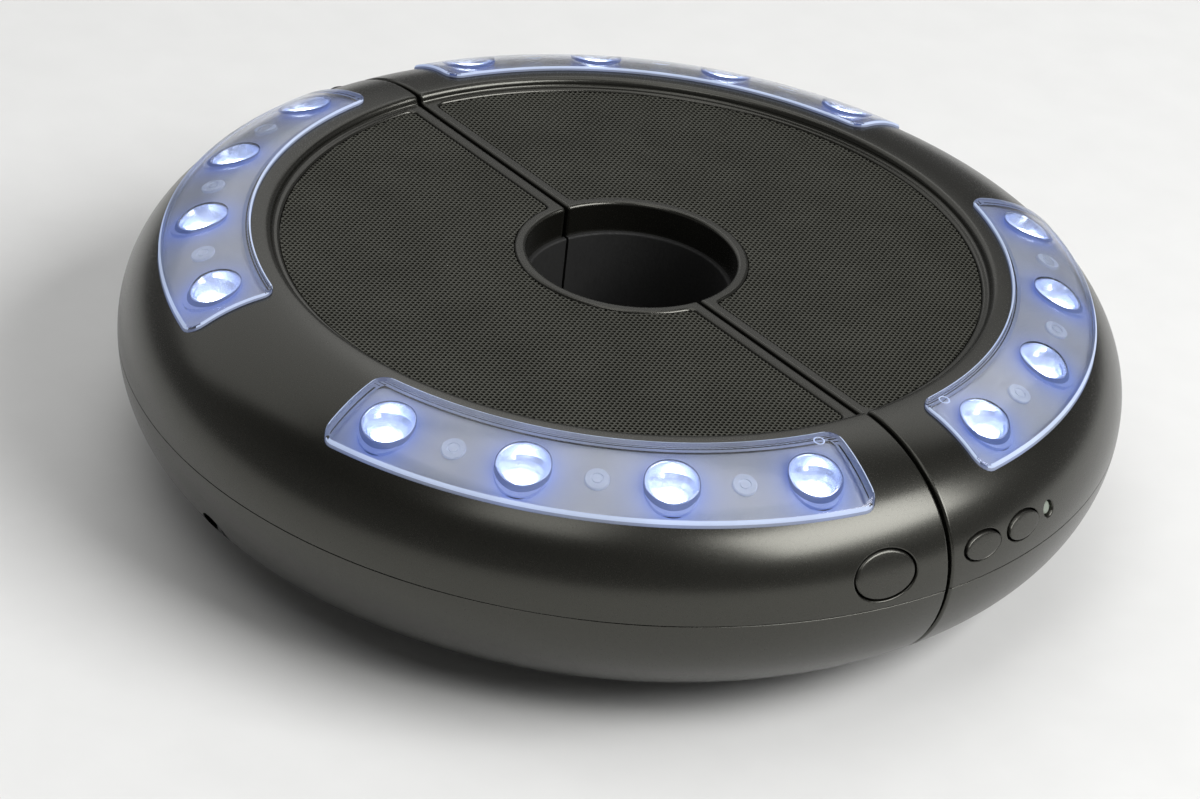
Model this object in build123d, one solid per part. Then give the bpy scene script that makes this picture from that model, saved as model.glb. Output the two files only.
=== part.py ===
from build123d import *
import math
import os

os.makedirs("parts", exist_ok=True)

# A ring-shaped light and loudspeaker that closes round a parasol pole.
# Two half rings meet at y = 0.  Half A (y < 0) is fixed, half B (y > 0) swings on a
# vertical hinge pin at the -X end, and a push button at the +X end works the catch.
# All sizes are in millimetres, +Z up, with the origin under the middle of the bore.

# --- driving dimensions -------------------------------------------------------------
outer_radius = 128.0        # widest circle of the ring
rim_radius = 93.0           # inner edge of the raised rim round the grilles
base_radius = 79.2          # edge of the flat underside
bore_radius = 26.7          # through hole for the pole, moulded plastic
pole_radius = 25.4          # pole that the rubber liners grip
foot_height = 1.6           # how far the rubber feet stand below the case
parting_z = 37.6            # joint between the upper and lower case
equator_z = 39.7            # height of the widest circle
rim_z = 68.4                # top of the rim
deck_z = 66.3               # top of the beads beside the grilles
upper_corner = 26.0         # radius of the upper shoulder at the widest circle
lower_corner = 33.0         # radius of the lower shoulder at the widest circle
wall = 2.4                  # case wall
half_gap = 0.5              # each half stops this far from the split plane
end_wall = 3.0              # flat wall that closes each half at the split

# grilles
grille_radius = 88.7
grille_thickness = 1.0
grille_drop = 0.5           # grille surface below the bead tops
bead_bore_width = 3.2       # bead between the bore and the grille
bead_split_width = 3.4      # bead between the split and the grille
deck_thickness = 2.2

# lamp panels
panel_angle = 47.68         # each panel's middle, measured from its half's middle
panel_half_angle = 34.4
panel_inner = 96.3
panel_outer = 118.9
panel_corner = 4.0
panel_proud = 1.0
panel_depth = 1.6
panel_ledge = 1.5
lamp_radius = 108.7         # the lamps' upright axes
lamp_pitch = 18.63
lamp_count = 4
pin_radius = 108.6

# loudspeakers
speaker_y = 58.6
speaker_flange = 29.0
speaker_opening = 23.0

# hinge
hinge_x = -124.5
hinge_barrel = 3.6
hinge_relief = 4.8
hinge_pin_radius = 1.4
hinge_low, hinge_high = 24.0, 54.0
knuckle_low, knuckle_high = 34.0, 44.0
knuckle_gap = 0.1
leaf_thickness = 1.8
leaf_end = -103.0

# release button and catch
release_angle = -8.57
release_z = 46.05
release_width, release_height = 16.8, 11.8
button_gap = 0.4
release_travel = 2.5

# small push buttons and the status light
button_z = 46.2
small_width, small_height = 11.8, 6.2
light_button_angle = 4.9
power_button_angle = 11.7
status_angle = 16.6
status_radius = 1.9

# underside
foot_radius, foot_recess = 6.0, 1.2
foot_circle, foot_angles = 66.0, (-52.0, 0.0, 52.0)
screw_circle, screw_angles = 74.0, (-72.0, -35.0, 35.0, 72.0)
socket_angle, socket_z = -91.0, 20.0

base_z = foot_height
ledge_z = deck_z - grille_drop - grille_thickness
deck_under = ledge_z - deck_thickness
big = 400.0


# --- the ring's cross-section ---------------------------------------------------------
def big_arc(width, height, small):
    """Radius of the second of two tangent arcs that make a quarter oval."""
    return (width**2 + height**2 - 2 * width * small) / (2 * (height - small))


upper_width = outer_radius - rim_radius
upper_height = rim_z - equator_z
upper_big = big_arc(upper_width, upper_height, upper_corner)
upper_small_centre = (outer_radius - upper_corner, equator_z)
upper_big_centre = (rim_radius, rim_z - upper_big)

lower_width = outer_radius - base_radius
lower_height = equator_z - base_z
lower_big = big_arc(lower_width, lower_height, lower_corner)
lower_small_centre = (outer_radius - lower_corner, equator_z)
lower_big_centre = (base_radius, base_z + lower_big)

upper_turn = math.degrees(
    math.atan2(
        upper_small_centre[1] - upper_big_centre[1],
        upper_small_centre[0] - upper_big_centre[0],
    )
)
lower_turn = math.degrees(
    math.atan2(
        lower_big_centre[1] - lower_small_centre[1],
        lower_small_centre[0] - lower_big_centre[0],
    )
)


def upper_arcs(offset):
    """Shoulder above the widest circle, moved out along its normal by offset."""
    return [
        CenterArc(upper_small_centre, upper_corner + offset, 0, upper_turn),
        CenterArc(upper_big_centre, upper_big + offset, upper_turn, 90 - upper_turn),
    ]


def lower_arcs(offset):
    """Shoulder below the widest circle, moved out along its normal by offset."""
    return [
        CenterArc(lower_small_centre, lower_corner + offset, -lower_turn, lower_turn),
        CenterArc(lower_big_centre, lower_big + offset, -90, 90 - lower_turn),
    ]


def surface_point(radius):
    """Height of the upper case and tilt of its normal, at a distance from the axis."""
    across = radius - upper_big_centre[0]
    up = math.sqrt(upper_big**2 - across**2)
    return upper_big_centre[1] + up, math.degrees(math.atan2(across, up))


def spin(edges):
    """Solid of revolution about Z from (radius, height) edges."""
    return revolve(Plane.XZ * make_face(edges), Axis.Z)


def spin_points(points):
    """Solid of revolution about Z from (radius, height) corners."""
    return revolve(Plane.XZ * make_face(Polyline(*points, close=True)), Axis.Z)


def block(x0, x1, y0, y1, z0, z1):
    """Box between two corners."""
    middle = ((x0 + x1) / 2, (y0 + y1) / 2, (z0 + z1) / 2)
    return Pos(*middle) * Box(abs(x1 - x0), abs(y1 - y0), abs(z1 - z0))


def rod(radius, z0, z1):
    """Upright cylinder on the Z axis."""
    return Pos(0, 0, (z0 + z1) / 2) * Cylinder(radius, z1 - z0)


def rod_x(radius, x0, x1):
    """Cylinder along X, at y = 0 and z = 0."""
    return Pos((x0 + x1) / 2, 0, 0) * Rot(0, 90, 0) * Cylinder(radius, x1 - x0)


def oval_x(width, height, x0, x1):
    """Oval bar along X: width along Y, height along Z."""
    outline = Plane.YZ * Ellipse(width / 2, height / 2)
    return Pos(x0, 0, 0) * extrude(outline, x1 - x0)


def half_side(side, inset=0.0):
    """Everything on one side of the split, inset from the split plane."""
    return block(-big, big, side * (half_gap + inset), side * big, -big, big)


def above(z):
    return block(-big, big, -big, big, z, big)


def below(z):
    return block(-big, big, -big, big, -big, z)


def outer_body():
    """The closed ring: case surface, rim, deck at the bead tops and bore."""
    lip = 1.0
    rim_in, cove_out, cove_in = rim_radius - 0.4, rim_radius - 2.0, rim_radius - 2.8
    cove_z = deck_z + 0.8
    edges = lower_arcs(0) + upper_arcs(0)
    edges += [
        Line((rim_radius, rim_z), (rim_in, rim_z)),
        ThreePointArc((rim_in, rim_z), (rim_radius - 1.5, rim_z - 0.5), (cove_out, cove_z)),
        ThreePointArc((cove_out, cove_z), (rim_radius - 2.25, deck_z + 0.24), (cove_in, deck_z)),
        Line((cove_in, deck_z), (bore_radius + lip, deck_z)),
        RadiusArc((bore_radius + lip, deck_z), (bore_radius, deck_z - lip), -lip),
        Line((bore_radius, deck_z - lip), (bore_radius, base_z + lip)),
        RadiusArc((bore_radius, base_z + lip), (bore_radius + lip, base_z), -lip),
        Line((bore_radius + lip, base_z), (base_radius, base_z)),
    ]
    return spin(edges)


def cavity():
    """Hollow inside the closed ring."""
    inner, rim_inner = bore_radius + wall, rim_radius - 1.4
    edges = lower_arcs(-wall) + upper_arcs(-wall)
    edges += [
        Line((rim_radius, rim_z - wall), (rim_inner, rim_z - wall)),
        Line((rim_inner, rim_z - wall), (rim_inner, deck_under)),
        Line((rim_inner, deck_under), (inner, deck_under)),
        Line((inner, deck_under), (inner, base_z + wall)),
        Line((inner, base_z + wall), (base_radius, base_z + wall)),
    ]
    return spin(edges)


def upper_band(outside, inside):
    """Layer that follows the upper shoulder, between two offsets from its surface."""
    edges = upper_arcs(outside) + upper_arcs(inside)
    edges += [
        Line((outer_radius + inside, equator_z), (outer_radius + outside, equator_z)),
        Line((rim_radius, rim_z + inside), (rim_radius, rim_z + outside)),
    ]
    return spin(edges)


def sector(inner, outer, half_angle, corner, z0, z1):
    """Upright prism over a ring sector that is centred on +X."""
    a0, a1 = math.radians(-half_angle), math.radians(half_angle)
    ends = [
        Line(
            (inner * math.cos(a), inner * math.sin(a)),
            (outer * math.cos(a), outer * math.sin(a)),
        )
        for a in (a0, a1)
    ]
    arcs = [CenterArc((0, 0), r, -half_angle, 2 * half_angle) for r in (inner, outer)]
    outline = make_face(ends + arcs)
    outline = fillet(outline.vertices(), corner)
    return Pos(0, 0, z0) * extrude(outline, z1 - z0)


def panel_prism(grow):
    """Prism over a lamp panel's outline, grown by a margin on every side."""
    extra = math.degrees(grow / ((panel_inner + panel_outer) / 2))
    return sector(
        panel_inner - grow,
        panel_outer + grow,
        panel_half_angle + extra,
        panel_corner + grow,
        parting_z,
        rim_z + 10,
    )


def on_panel(radius, step):
    """Frame on the case surface, Z outwards: step counts lamp pitches from the panel's middle."""
    height, tilt = surface_point(radius)
    return Rot(0, 0, step * lamp_pitch) * Pos(radius, 0, height) * Rot(0, tilt, 0)


lamp_steps = [i - (lamp_count - 1) / 2 for i in range(lamp_count)]
pin_steps = [i - (lamp_count - 2) / 2 for i in range(lamp_count - 1)]


def panel_places(side):
    """Turns that carry a panel from +X to its two places on one half."""
    return [side * (90 - panel_angle), side * (90 + panel_angle)]


def grille_outline(side, margin, z0, z1):
    """Prism over one half's grille."""
    inner = bore_radius + bead_bore_width + margin
    outer = grille_radius - margin
    start = half_gap + bead_split_width + margin
    x_in, x_out = math.sqrt(inner**2 - start**2), math.sqrt(outer**2 - start**2)
    outline = make_face([
        Line((x_in, start), (x_out, start)),
        Line((-x_in, start), (-x_out, start)),
        ThreePointArc((x_out, start), (0, outer), (-x_out, start)),
        ThreePointArc((x_in, start), (0, inner), (-x_in, start)),
    ])
    outline = fillet(outline.vertices(), 2.0)
    prism = Pos(0, 0, z0) * extrude(outline, z1 - z0)
    return prism if side > 0 else mirror(prism, Plane.XZ)


def radial(angle, z, shape):
    """Carry a shape built along +X to an angle round the ring and a height."""
    return Rot(0, 0, angle) * Pos(0, 0, z) * shape


def around(side, circle, angles, shape):
    """Copies of an upright shape on a circle, at angles from one half's middle."""
    places = [math.radians(side * 90 + a) for a in angles]
    copies = [Pos(circle * math.cos(a), circle * math.sin(a), 0) * shape for a in places]
    return sum(copies[1:], copies[0])


def save(name, shape):
    export_step(shape, f"parts/{name}.step")


# --- the two case halves ----------------------------------------------------------------
relief = Pos(hinge_x, 0, 0) * rod(hinge_relief, hinge_low - 0.5, hinge_high + 0.5)
leaf_pocket_end = leaf_end + 0.2
hinge_screw_x = -110.0
hinge_screw_heights = (hinge_low + 5, hinge_high - 5)
post_radius, screw_radius, head_radius = 3.5, 1.25, 2.6
head_seat = base_z + 4.0
screw_top = parting_z + 9.0

plate_x0, plate_x1, plate_z0, plate_z1 = 95.0, 110.0, 40.5, 51.5
plate_thickness = 1.5
prong_z0, prong_z1 = 43.55, 48.55
prong_x0, prong_x1, prong_y = 101.6, 103.6, -9.5
nose_reach, nose_length = 1.6, 2.0


def case_half(side):
    """One half ring as a single hollow shell, before it is parted."""
    shell = outer_body() & half_side(side)
    shell -= cavity() & half_side(side, end_wall)
    shell -= grille_outline(side, -0.15, ledge_z, rim_z)
    shell -= relief
    y0, y1 = side * half_gap, side * (half_gap + leaf_thickness)
    shell -= block(hinge_x, leaf_pocket_end, y0, y1, hinge_low - 0.2, hinge_high + 0.2)
    shell -= Pos(0, side * speaker_y, 0) * rod(speaker_opening, deck_under - 1, ledge_z + 1)
    for turn in panel_places(side):
        pocket = upper_band(panel_proud + 4, -panel_depth) & panel_prism(0.15)
        window = upper_band(panel_proud, -wall - 0.5) & panel_prism(-panel_ledge)
        shell -= Rot(0, 0, turn) * (pocket + window)
    for height in hinge_screw_heights:
        boss = Pos(hinge_screw_x, side * 7, height) * Rot(90, 0, 0) * Cylinder(3, 8)
        hole = Pos(hinge_screw_x, side * 5, height) * Rot(90, 0, 0) * Cylinder(1, 9)
        shell = shell + boss - hole
    return shell


def screw_posts(side, z0, z1, hole_top):
    post = rod(post_radius, z0, z1) - rod(screw_radius, z0 - 1, hole_top)
    return around(side, screw_circle, screw_angles, post)


def upper_case(shell, side):
    return (shell & above(parting_z)) + screw_posts(side, parting_z, deck_under, screw_top)


def lower_case(shell, side):
    case = shell & below(parting_z)
    pads = around(side, screw_circle, screw_angles, rod(4.6, base_z + wall, head_seat + 2))
    case += pads + screw_posts(side, base_z + wall, parting_z, parting_z + 1)
    case -= around(side, screw_circle, screw_angles, rod(head_radius + 0.2, 0, head_seat))
    case -= around(side, screw_circle, screw_angles, rod(screw_radius, 0, parting_z + 1))
    case -= around(side, foot_circle, foot_angles, rod(foot_radius + 0.1, 0, base_z + foot_recess))
    return case


shell_a = case_half(-1)
shell_b = case_half(1)

release_hole = oval_x(
    release_width + 2 * button_gap, release_height + 2 * button_gap, 112, 140
)
shell_a -= radial(release_angle, release_z, release_hole)
slot_margin = 1.0
shell_a -= block(
    prong_x0 - nose_reach - slot_margin,
    prong_x1 + slot_margin,
    0,
    -half_gap - end_wall - 0.5,
    prong_z0 - 0.5,
    prong_z1 + 0.5,
)
socket_hole = 4.3
shell_a -= radial(socket_angle, socket_z, rod_x(socket_hole, 112, 140))

small_hole = oval_x(small_width + 2 * button_gap, small_height + 2 * button_gap, 112, 140)
for angle in (light_button_angle, power_button_angle):
    shell_b -= radial(angle, button_z, small_hole)
shell_b -= radial(status_angle, button_z, rod_x(status_radius + 0.1, 112, 140))
shell_b -= block(plate_x0, plate_x1, 0, half_gap + plate_thickness, plate_z0, plate_z1)

save("upper_case_a", upper_case(shell_a, -1))
save("upper_case_b", upper_case(shell_b, 1))
save("lower_case_a", lower_case(shell_a, -1))
board_x, board_y0, board_y1, board_z = 32.0, 38.0, 76.0, 12.0
board_posts = [
    Pos(x, y, 0) * rod(2.5, base_z + wall, board_z)
    for x in (-board_x + 4, board_x - 4)
    for y in (board_y0 + 4, board_y1 - 4)
]
save("lower_case_b", sum(board_posts, lower_case(shell_b, 1)))

# --- grilles, lamp panels, feet, screws and pole liners ------------------------------------
liner_z0, liner_z1 = 8.0, 58.0
for side, half in ((-1, "a"), (1, "b")):
    save(f"grille_{half}", grille_outline(side, 0.0, ledge_z, ledge_z + grille_thickness))

    foot = rod(foot_radius, 0, base_z + foot_recess)
    save(f"feet_{half}", around(side, foot_circle, foot_angles, foot))

    screw = rod(head_radius, head_seat - 2, head_seat) + rod(screw_radius, head_seat, screw_top - 1)
    save(f"case_screws_{half}", around(side, screw_circle, screw_angles, screw))

    liner = rod(bore_radius, liner_z0, liner_z1) - rod(pole_radius, liner_z0 - 1, liner_z1 + 1)
    save(f"pole_liner_{half}", liner & half_side(side, 0.4))

tray_offset, tray_thickness = -wall, 1.0
board_top, board_thickness = 59.6, 1.2
lamp_body, lamp_height, lamp_dome = 3.5, 1.2, 2.4
cup_outer, cup_top, cup_bottom, cup_depth = 6.7, 6.3, 3.2, 5.0
well_radius, well_roof = 6.9, 0.2


def at_lamp(step, shape):
    """Carry an upright shape from the Z axis to a lamp."""
    return Rot(0, 0, step * lamp_pitch) * Pos(lamp_radius, 0, 0) * shape


def lamp_lens():
    lens = upper_band(panel_proud, -panel_depth) & panel_prism(0)
    under_roof = upper_band(well_roof, -panel_depth - 1)
    for step in lamp_steps:
        lens -= at_lamp(step, rod(well_radius, board_top, rim_z + 5)) & under_roof
    for step in pin_steps:
        pin = on_panel(pin_radius, step) * rod(1.8, -9, -panel_depth + 0.2)
        lens += pin & above(board_top)
    return lens


def lamp_tray():
    outline = sector(95.5, 117.0, panel_half_angle + 0.4, panel_corner, parting_z, rim_z)
    tray = upper_band(tray_offset, tray_offset - tray_thickness) & outline
    over_skin = upper_band(14, 0)
    bowl = Pos(0, 0, board_top + cup_depth / 2) * Cone(cup_bottom, cup_top, cup_depth)
    bowl += rod(cup_top, board_top + cup_depth, rim_z + 5)
    bowl += rod(cup_bottom, board_top - 1, board_top)
    for step in lamp_steps:
        tray += at_lamp(step, rod(cup_outer, board_top + 0.1, rim_z + 2)) - over_skin
        tray -= at_lamp(step, bowl)
    for step in pin_steps:
        tray -= on_panel(pin_radius, step) * rod(2.0, -9, 0)
    return tray


def lamp_board():
    bottom = board_top - board_thickness
    return sector(97.0, 112.2, panel_half_angle - 0.8, 2.0, bottom, board_top)


def lamps():
    chip = Pos(0, 0, board_top + lamp_height / 2) * Box(lamp_body, lamp_body, lamp_height)
    dome = Pos(0, 0, board_top + lamp_height - 0.5) * Sphere(lamp_dome)
    lamp = chip + (dome & above(board_top + lamp_height))
    group = [at_lamp(step, lamp) for step in lamp_steps]
    return sum(group[1:], group[0])


panel_parts = {
    "lamp_lens": lamp_lens(),
    "lamp_tray": lamp_tray(),
    "lamp_board": lamp_board(),
    "lamps": lamps(),
}
for side, first in ((-1, 1), (1, 3)):
    for number, turn in enumerate(panel_places(side), first):
        for name, shape in panel_parts.items():
            save(f"{name}_{number}", Rot(0, 0, turn) * shape)

# --- loudspeakers ------------------------------------------------------------------------
basket_low = 42.0
frame_points = [
    (speaker_opening + 0.5, deck_under), (speaker_flange, deck_under),
    (speaker_flange, deck_under - 1.6), (26.2, deck_under - 1.6),
    (17.0, basket_low), (8.0, basket_low), (8.0, basket_low + 1.2),
    (16.2, basket_low + 1.2), (23.9, 59.4), (23.9, 60.5), (24.8, 60.5),
    (24.8, deck_under - 0.6),
    (speaker_opening + 0.5, deck_under - 0.6),
]
frame = spin_points(frame_points)
for turn in range(4):
    frame -= Rot(0, 0, 45 + 90 * turn) * block(14, 30, -6, 6, basket_low + 3, deck_under - 4)
magnet = rod(18, 33, basket_low - 1.5) + rod(19, basket_low - 1.5, basket_low)
magnet += rod(6.2, basket_low, basket_low + 6)
cone_body = spin_points([
    (6.9, 46), (7.4, 46), (7.4, 50), (21.6, 60.0), (23.6, 60.0), (23.6, 60.5),
    (21.4, 60.5), (6.9, 50.6),
])
surround = spin([
    Line((21.8, 60.5), (22.4, 60.5)),
    RadiusArc((22.4, 60.5), (24.0, 60.5), 0.9),
    Line((24.0, 60.5), (24.7, 60.5)),
    Line((24.7, 60.5), (24.7, 61.1)),
    RadiusArc((24.7, 61.1), (21.8, 61.1), -1.8),
    Line((21.8, 61.1), (21.8, 60.5)),
])
cap_radius, cap_z = 14.0, 53.6
cap = Pos(0, 0, cap_z + 3 - cap_radius) * (Sphere(cap_radius) - Sphere(cap_radius - 0.5))
cap &= rod(8.6, cap_z, cap_z + 10)
for side, half in ((-1, "a"), (1, "b")):
    place = Pos(0, side * speaker_y, 0)
    save(f"speaker_frame_{half}", place * frame)
    save(f"speaker_magnet_{half}", place * magnet)
    save(f"speaker_cone_{half}", place * cone_body)
    save(f"speaker_surround_{half}", place * surround)
    save(f"speaker_dust_cap_{half}", place * cap)

# --- power and electronics -----------------------------------------------------------------
cell_radius, cell_length, cell_z = 9.1, 65.0, 15.5
cell_rows = (-47.0, -67.0)
cells = [
    Pos(0, y, cell_z) * rod_x(cell_radius, -cell_length / 2, cell_length / 2)
    for y in cell_rows
]
save("battery_cells", cells[0] + cells[1])
holder_x = cell_length / 2 + 2.5
holder = block(-holder_x, holder_x, -77.5, -36.5, base_z + wall, base_z + wall + 11)
for y in cell_rows:
    holder -= Pos(0, y, cell_z) * rod_x(cell_radius + 0.05, -cell_length / 2, cell_length / 2)
holder -= block(-22, 22, -80, -30, base_z + wall + 1.6, base_z + wall + 20)
holder &= rod(base_radius - 0.2, 0, parting_z)
save("battery_holder", holder)

main_board = block(-board_x, board_x, board_y0, board_y1, board_z, board_z + 1.6)
save("main_board", main_board)
top_of_board = board_z + 1.6
chips = block(-26, -8, 44, 58, top_of_board, top_of_board + 2.2)
chips += block(12, 22, 46, 56, top_of_board, top_of_board + 1.4)
for x in (-20, -8, 4, 16):
    chips += Pos(x, 67, 0) * rod(3.2, top_of_board, top_of_board + 9)
save("board_components", chips)

# charging socket, set in the lower case of half A
socket_body = block(100, 112.5, -5, 5, -4.6, 4.6) + rod_x(4.1, 112.5, 119.0)
socket_body -= rod_x(2.8, 105, 130)
socket_body += rod_x(0.9, 104.5, 117)
save("charging_socket", radial(socket_angle, socket_z, socket_body) & outer_body())

# --- hinge -----------------------------------------------------------------------------------
pin_head = 2.2


def hinge_leaf(side, spans):
    """Barrel knuckles with a flat leaf that screws to one half's end wall."""
    y0, y1 = side * half_gap, side * (half_gap + leaf_thickness)
    leaf = block(hinge_x + hinge_relief, leaf_end, y0, y1, hinge_low, hinge_high)
    for z0, z1 in spans:
        leaf += Pos(hinge_x, 0, 0) * rod(hinge_barrel, z0, z1)
        leaf += block(hinge_x, hinge_x + 8, y0, y1, z0, z1)
        bore = hinge_pin_radius if side < 0 else hinge_pin_radius + 0.05
        leaf -= Pos(hinge_x, 0, 0) * rod(bore, z0 - 1, z1 + 1)
    for height in hinge_screw_heights:
        y = side * half_gap
        leaf -= Pos(hinge_screw_x, y, height) * Rot(90, 0, 0) * Cylinder(2.1, 2.2)
        leaf -= Pos(hinge_screw_x, y, height) * Rot(90, 0, 0) * Cylinder(1.0, 8)
    return leaf


fixed_spans = [(hinge_low, knuckle_low - knuckle_gap), (knuckle_high + knuckle_gap, hinge_high)]
save("hinge_leaf_a", hinge_leaf(-1, fixed_spans))
save("hinge_leaf_b", hinge_leaf(1, [(knuckle_low, knuckle_high)]))
pin = rod(hinge_pin_radius, hinge_low - 0.4, hinge_high) + rod(pin_head, hinge_high, hinge_high + 0.5)
save("hinge_pin", Pos(hinge_x, 0, 0) * pin)
for side, half in ((-1, "a"), (1, "b")):
    screws = []
    for height in hinge_screw_heights:
        turned = Pos(hinge_screw_x, side * half_gap, height) * Rot(-90 * side, 0, 0)
        screws.append(turned * (rod(2.0, 0.2, 1.1) + rod(1.0, 1.1, 8)))
    save(f"hinge_screws_{half}", screws[0] + screws[1])

# --- release button, catch bolt and strike ------------------------------------------------------
flange_x0, flange_x1 = 114.8, 116.8
stem_x0, stem_radius = 94.0, 2.5
guide_x0, guide_x1 = 106.0, 108.0
inside = cavity()

cap_bar = radial(release_angle, release_z, oval_x(release_width, release_height, flange_x1, 140))
flange = oval_x(19.0, 14.0, flange_x0, flange_x1) + rod_x(stem_radius, stem_x0, flange_x0)
button = (cap_bar & outer_body()) + radial(release_angle, release_z, flange)
save("release_button", button)

arm_x0, arm_x1, arm_y0, arm_y1 = 95.0, 98.0, -18.5, -4.4
tip_x1, tip_length = prong_x0 - nose_reach - 0.2, 2.5
bolt = block(arm_x0, arm_x1, arm_y0, arm_y1, prong_z0 - 1.5, prong_z1 + 1.5)
bolt += block(arm_x1, tip_x1, arm_y1 - tip_length, arm_y1, prong_z0, prong_z1)
bolt -= radial(release_angle, release_z, rod_x(stem_radius, stem_x0 - 1, flange_x0))
save("latch_bolt", bolt)

strike = block(plate_x0 + 0.2, plate_x1 - 0.2, half_gap, half_gap + plate_thickness,
               plate_z0 + 0.2, plate_z1 - 0.2)
strike += block(prong_x0, prong_x1, prong_y, half_gap + 0.5, prong_z0, prong_z1)
strike += block(prong_x0 - nose_reach, prong_x0, prong_y, prong_y + nose_length,
                prong_z0, prong_z1)
save("latch_strike", strike)

spring_x0, spring_turns, spring_wire = guide_x1 + release_travel + 0.3, 4, 0.35
spring_length = flange_x0 - spring_x0
coil_path = Helix(spring_length / spring_turns, spring_length - 2 * spring_wire, 3.6)
coil_start = Plane(origin=coil_path @ 0, z_dir=coil_path % 0)
coil = sweep(coil_start * Circle(spring_wire), path=coil_path, is_frenet=True)
coil = Pos(spring_x0 + spring_wire, 0, 0) * Rot(0, 90, 0) * coil
save("release_spring", radial(release_angle, release_z, coil))

housing = oval_x(24.0, 17.6, guide_x0, 118.0) - oval_x(20.0, 15.0, guide_x1, 120.0)
housing -= rod_x(stem_radius + 0.06, 100, 110)
housing = radial(release_angle, release_z, housing) & inside & half_side(-1, end_wall + 0.4)
save("release_housing", housing)

# --- light button, power button, their switches and the status light ------------------------------
press_travel = 0.8
switch_front, switch_top = 110.0, 111.6
small_flange = oval_x(small_width + 0.6, small_height + 2.4, 116.2, 117.4)
stem_tip = switch_top + press_travel + 0.1
small_stem = rod_x(1.6, stem_tip, 116.2)
for name, angle in (("light_button", light_button_angle), ("power_button", power_button_angle)):
    face = radial(angle, button_z, oval_x(small_width, small_height, 117.4, 140)) & outer_body()
    save(name, face + radial(angle, button_z, small_flange + small_stem))

switch_middle = (light_button_angle + power_button_angle) / 2
switch_board = radial(switch_middle, button_z, block(108.4, switch_front, -11, 22, -6, 7))
for angle in (light_button_angle, power_button_angle):
    switch_board += radial(angle, button_z, block(switch_front - 0.8, switch_top, -3, 3, -3, 3))
save("switch_board", switch_board)
light_pipe = rod_x(status_radius, 112.0, 140)
save("status_light", radial(status_angle, button_z, light_pipe) & outer_body())
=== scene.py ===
from collections import Counter
from math import asin, atan2, cos, degrees, hypot, pi, radians, sin, sqrt

import bmesh
import bpy
import numpy as np
from mathutils import Matrix, Vector
from mathutils.geometry import delaunay_2d_cdt


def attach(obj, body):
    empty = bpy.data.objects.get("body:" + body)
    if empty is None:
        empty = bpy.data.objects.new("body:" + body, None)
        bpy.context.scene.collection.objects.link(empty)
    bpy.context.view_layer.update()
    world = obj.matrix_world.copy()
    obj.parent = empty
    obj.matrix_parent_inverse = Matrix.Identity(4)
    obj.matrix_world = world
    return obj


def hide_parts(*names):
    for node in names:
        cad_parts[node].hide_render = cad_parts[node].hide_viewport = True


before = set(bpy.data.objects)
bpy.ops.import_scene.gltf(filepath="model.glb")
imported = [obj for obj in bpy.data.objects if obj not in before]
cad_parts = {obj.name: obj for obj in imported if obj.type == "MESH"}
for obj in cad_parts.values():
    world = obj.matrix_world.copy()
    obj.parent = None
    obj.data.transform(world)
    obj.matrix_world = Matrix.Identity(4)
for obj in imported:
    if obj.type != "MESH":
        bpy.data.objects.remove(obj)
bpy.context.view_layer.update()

# Lengths in this script are in millimetres until a mesh is made, as in the CAD part.
MM = 0.001

# --- the ring's dimensions, as in the CAD part ---
OUTER_R, RIM_R, BASE_R, BORE_R, POLE_R = 128.0, 93.0, 79.2, 26.7, 25.4
BASE_Z, PARTING_Z, EQUATOR_Z, DECK_Z, RIM_Z = 1.6, 37.6, 39.7, 66.3, 68.4
# Its outside is four arcs, a small and a big one above the equator and below it.
UP_SMALL, UP_BIG, LOW_SMALL, LOW_BIG = 26.0, 42.35, 33.0, 60.02
WALL, HALF_GAP, END_WALL = 2.4, 0.5, 3.0
LEDGE_Z, DECK_UNDER = 64.8, 62.6
UP_SMALL_C = (OUTER_R - UP_SMALL, EQUATOR_Z)
UP_BIG_C = (RIM_R, RIM_Z - UP_BIG)
LOW_SMALL_C = (OUTER_R - LOW_SMALL, EQUATOR_Z)
LOW_BIG_C = (BASE_R, BASE_Z + LOW_BIG)
UP_TURN = atan2(UP_SMALL_C[1] - UP_BIG_C[1], UP_SMALL_C[0] - UP_BIG_C[0])
LOW_TURN = atan2(LOW_BIG_C[1] - LOW_SMALL_C[1], LOW_SMALL_C[0] - LOW_BIG_C[0])

# Angles are in degrees; a panel is drawn round the X axis and then turned to its place.
PANEL_ANGLE, PANEL_HALF = 47.68, 34.4
PANEL_TURNS = {1: PANEL_ANGLE - 90, 2: -PANEL_ANGLE - 90,
               3: 90 - PANEL_ANGLE, 4: 90 + PANEL_ANGLE}
PANEL_IN, PANEL_OUT, PANEL_CORNER = 96.3, 118.9, 4.0
PANEL_PROUD, PANEL_DEPTH, PANEL_LEDGE = 1.0, 1.6, 1.5
LAMP_R, PIN_R, LAMP_PITCH = 108.7, 108.6, 18.63
# Places along a panel, counted in lamp pitches from its middle.
LAMP_STEPS, PIN_STEPS = (-1.5, -0.5, 0.5, 1.5), (-1.0, 0.0, 1.0)
BOARD_TOP, CUP_OUT, CUP_TOP, CUP_BOTTOM, CUP_DEPTH = 59.6, 6.7, 6.3, 3.2, 5.0
WELL_ROOF = 0.2
SPEAKER_Y, SPEAKER_HOLE = 58.6, 23.0

GRILLE_R, GRILLE_START, GRILLE_IN = 88.7, HALF_GAP + 3.4, BORE_R + 3.2

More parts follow.
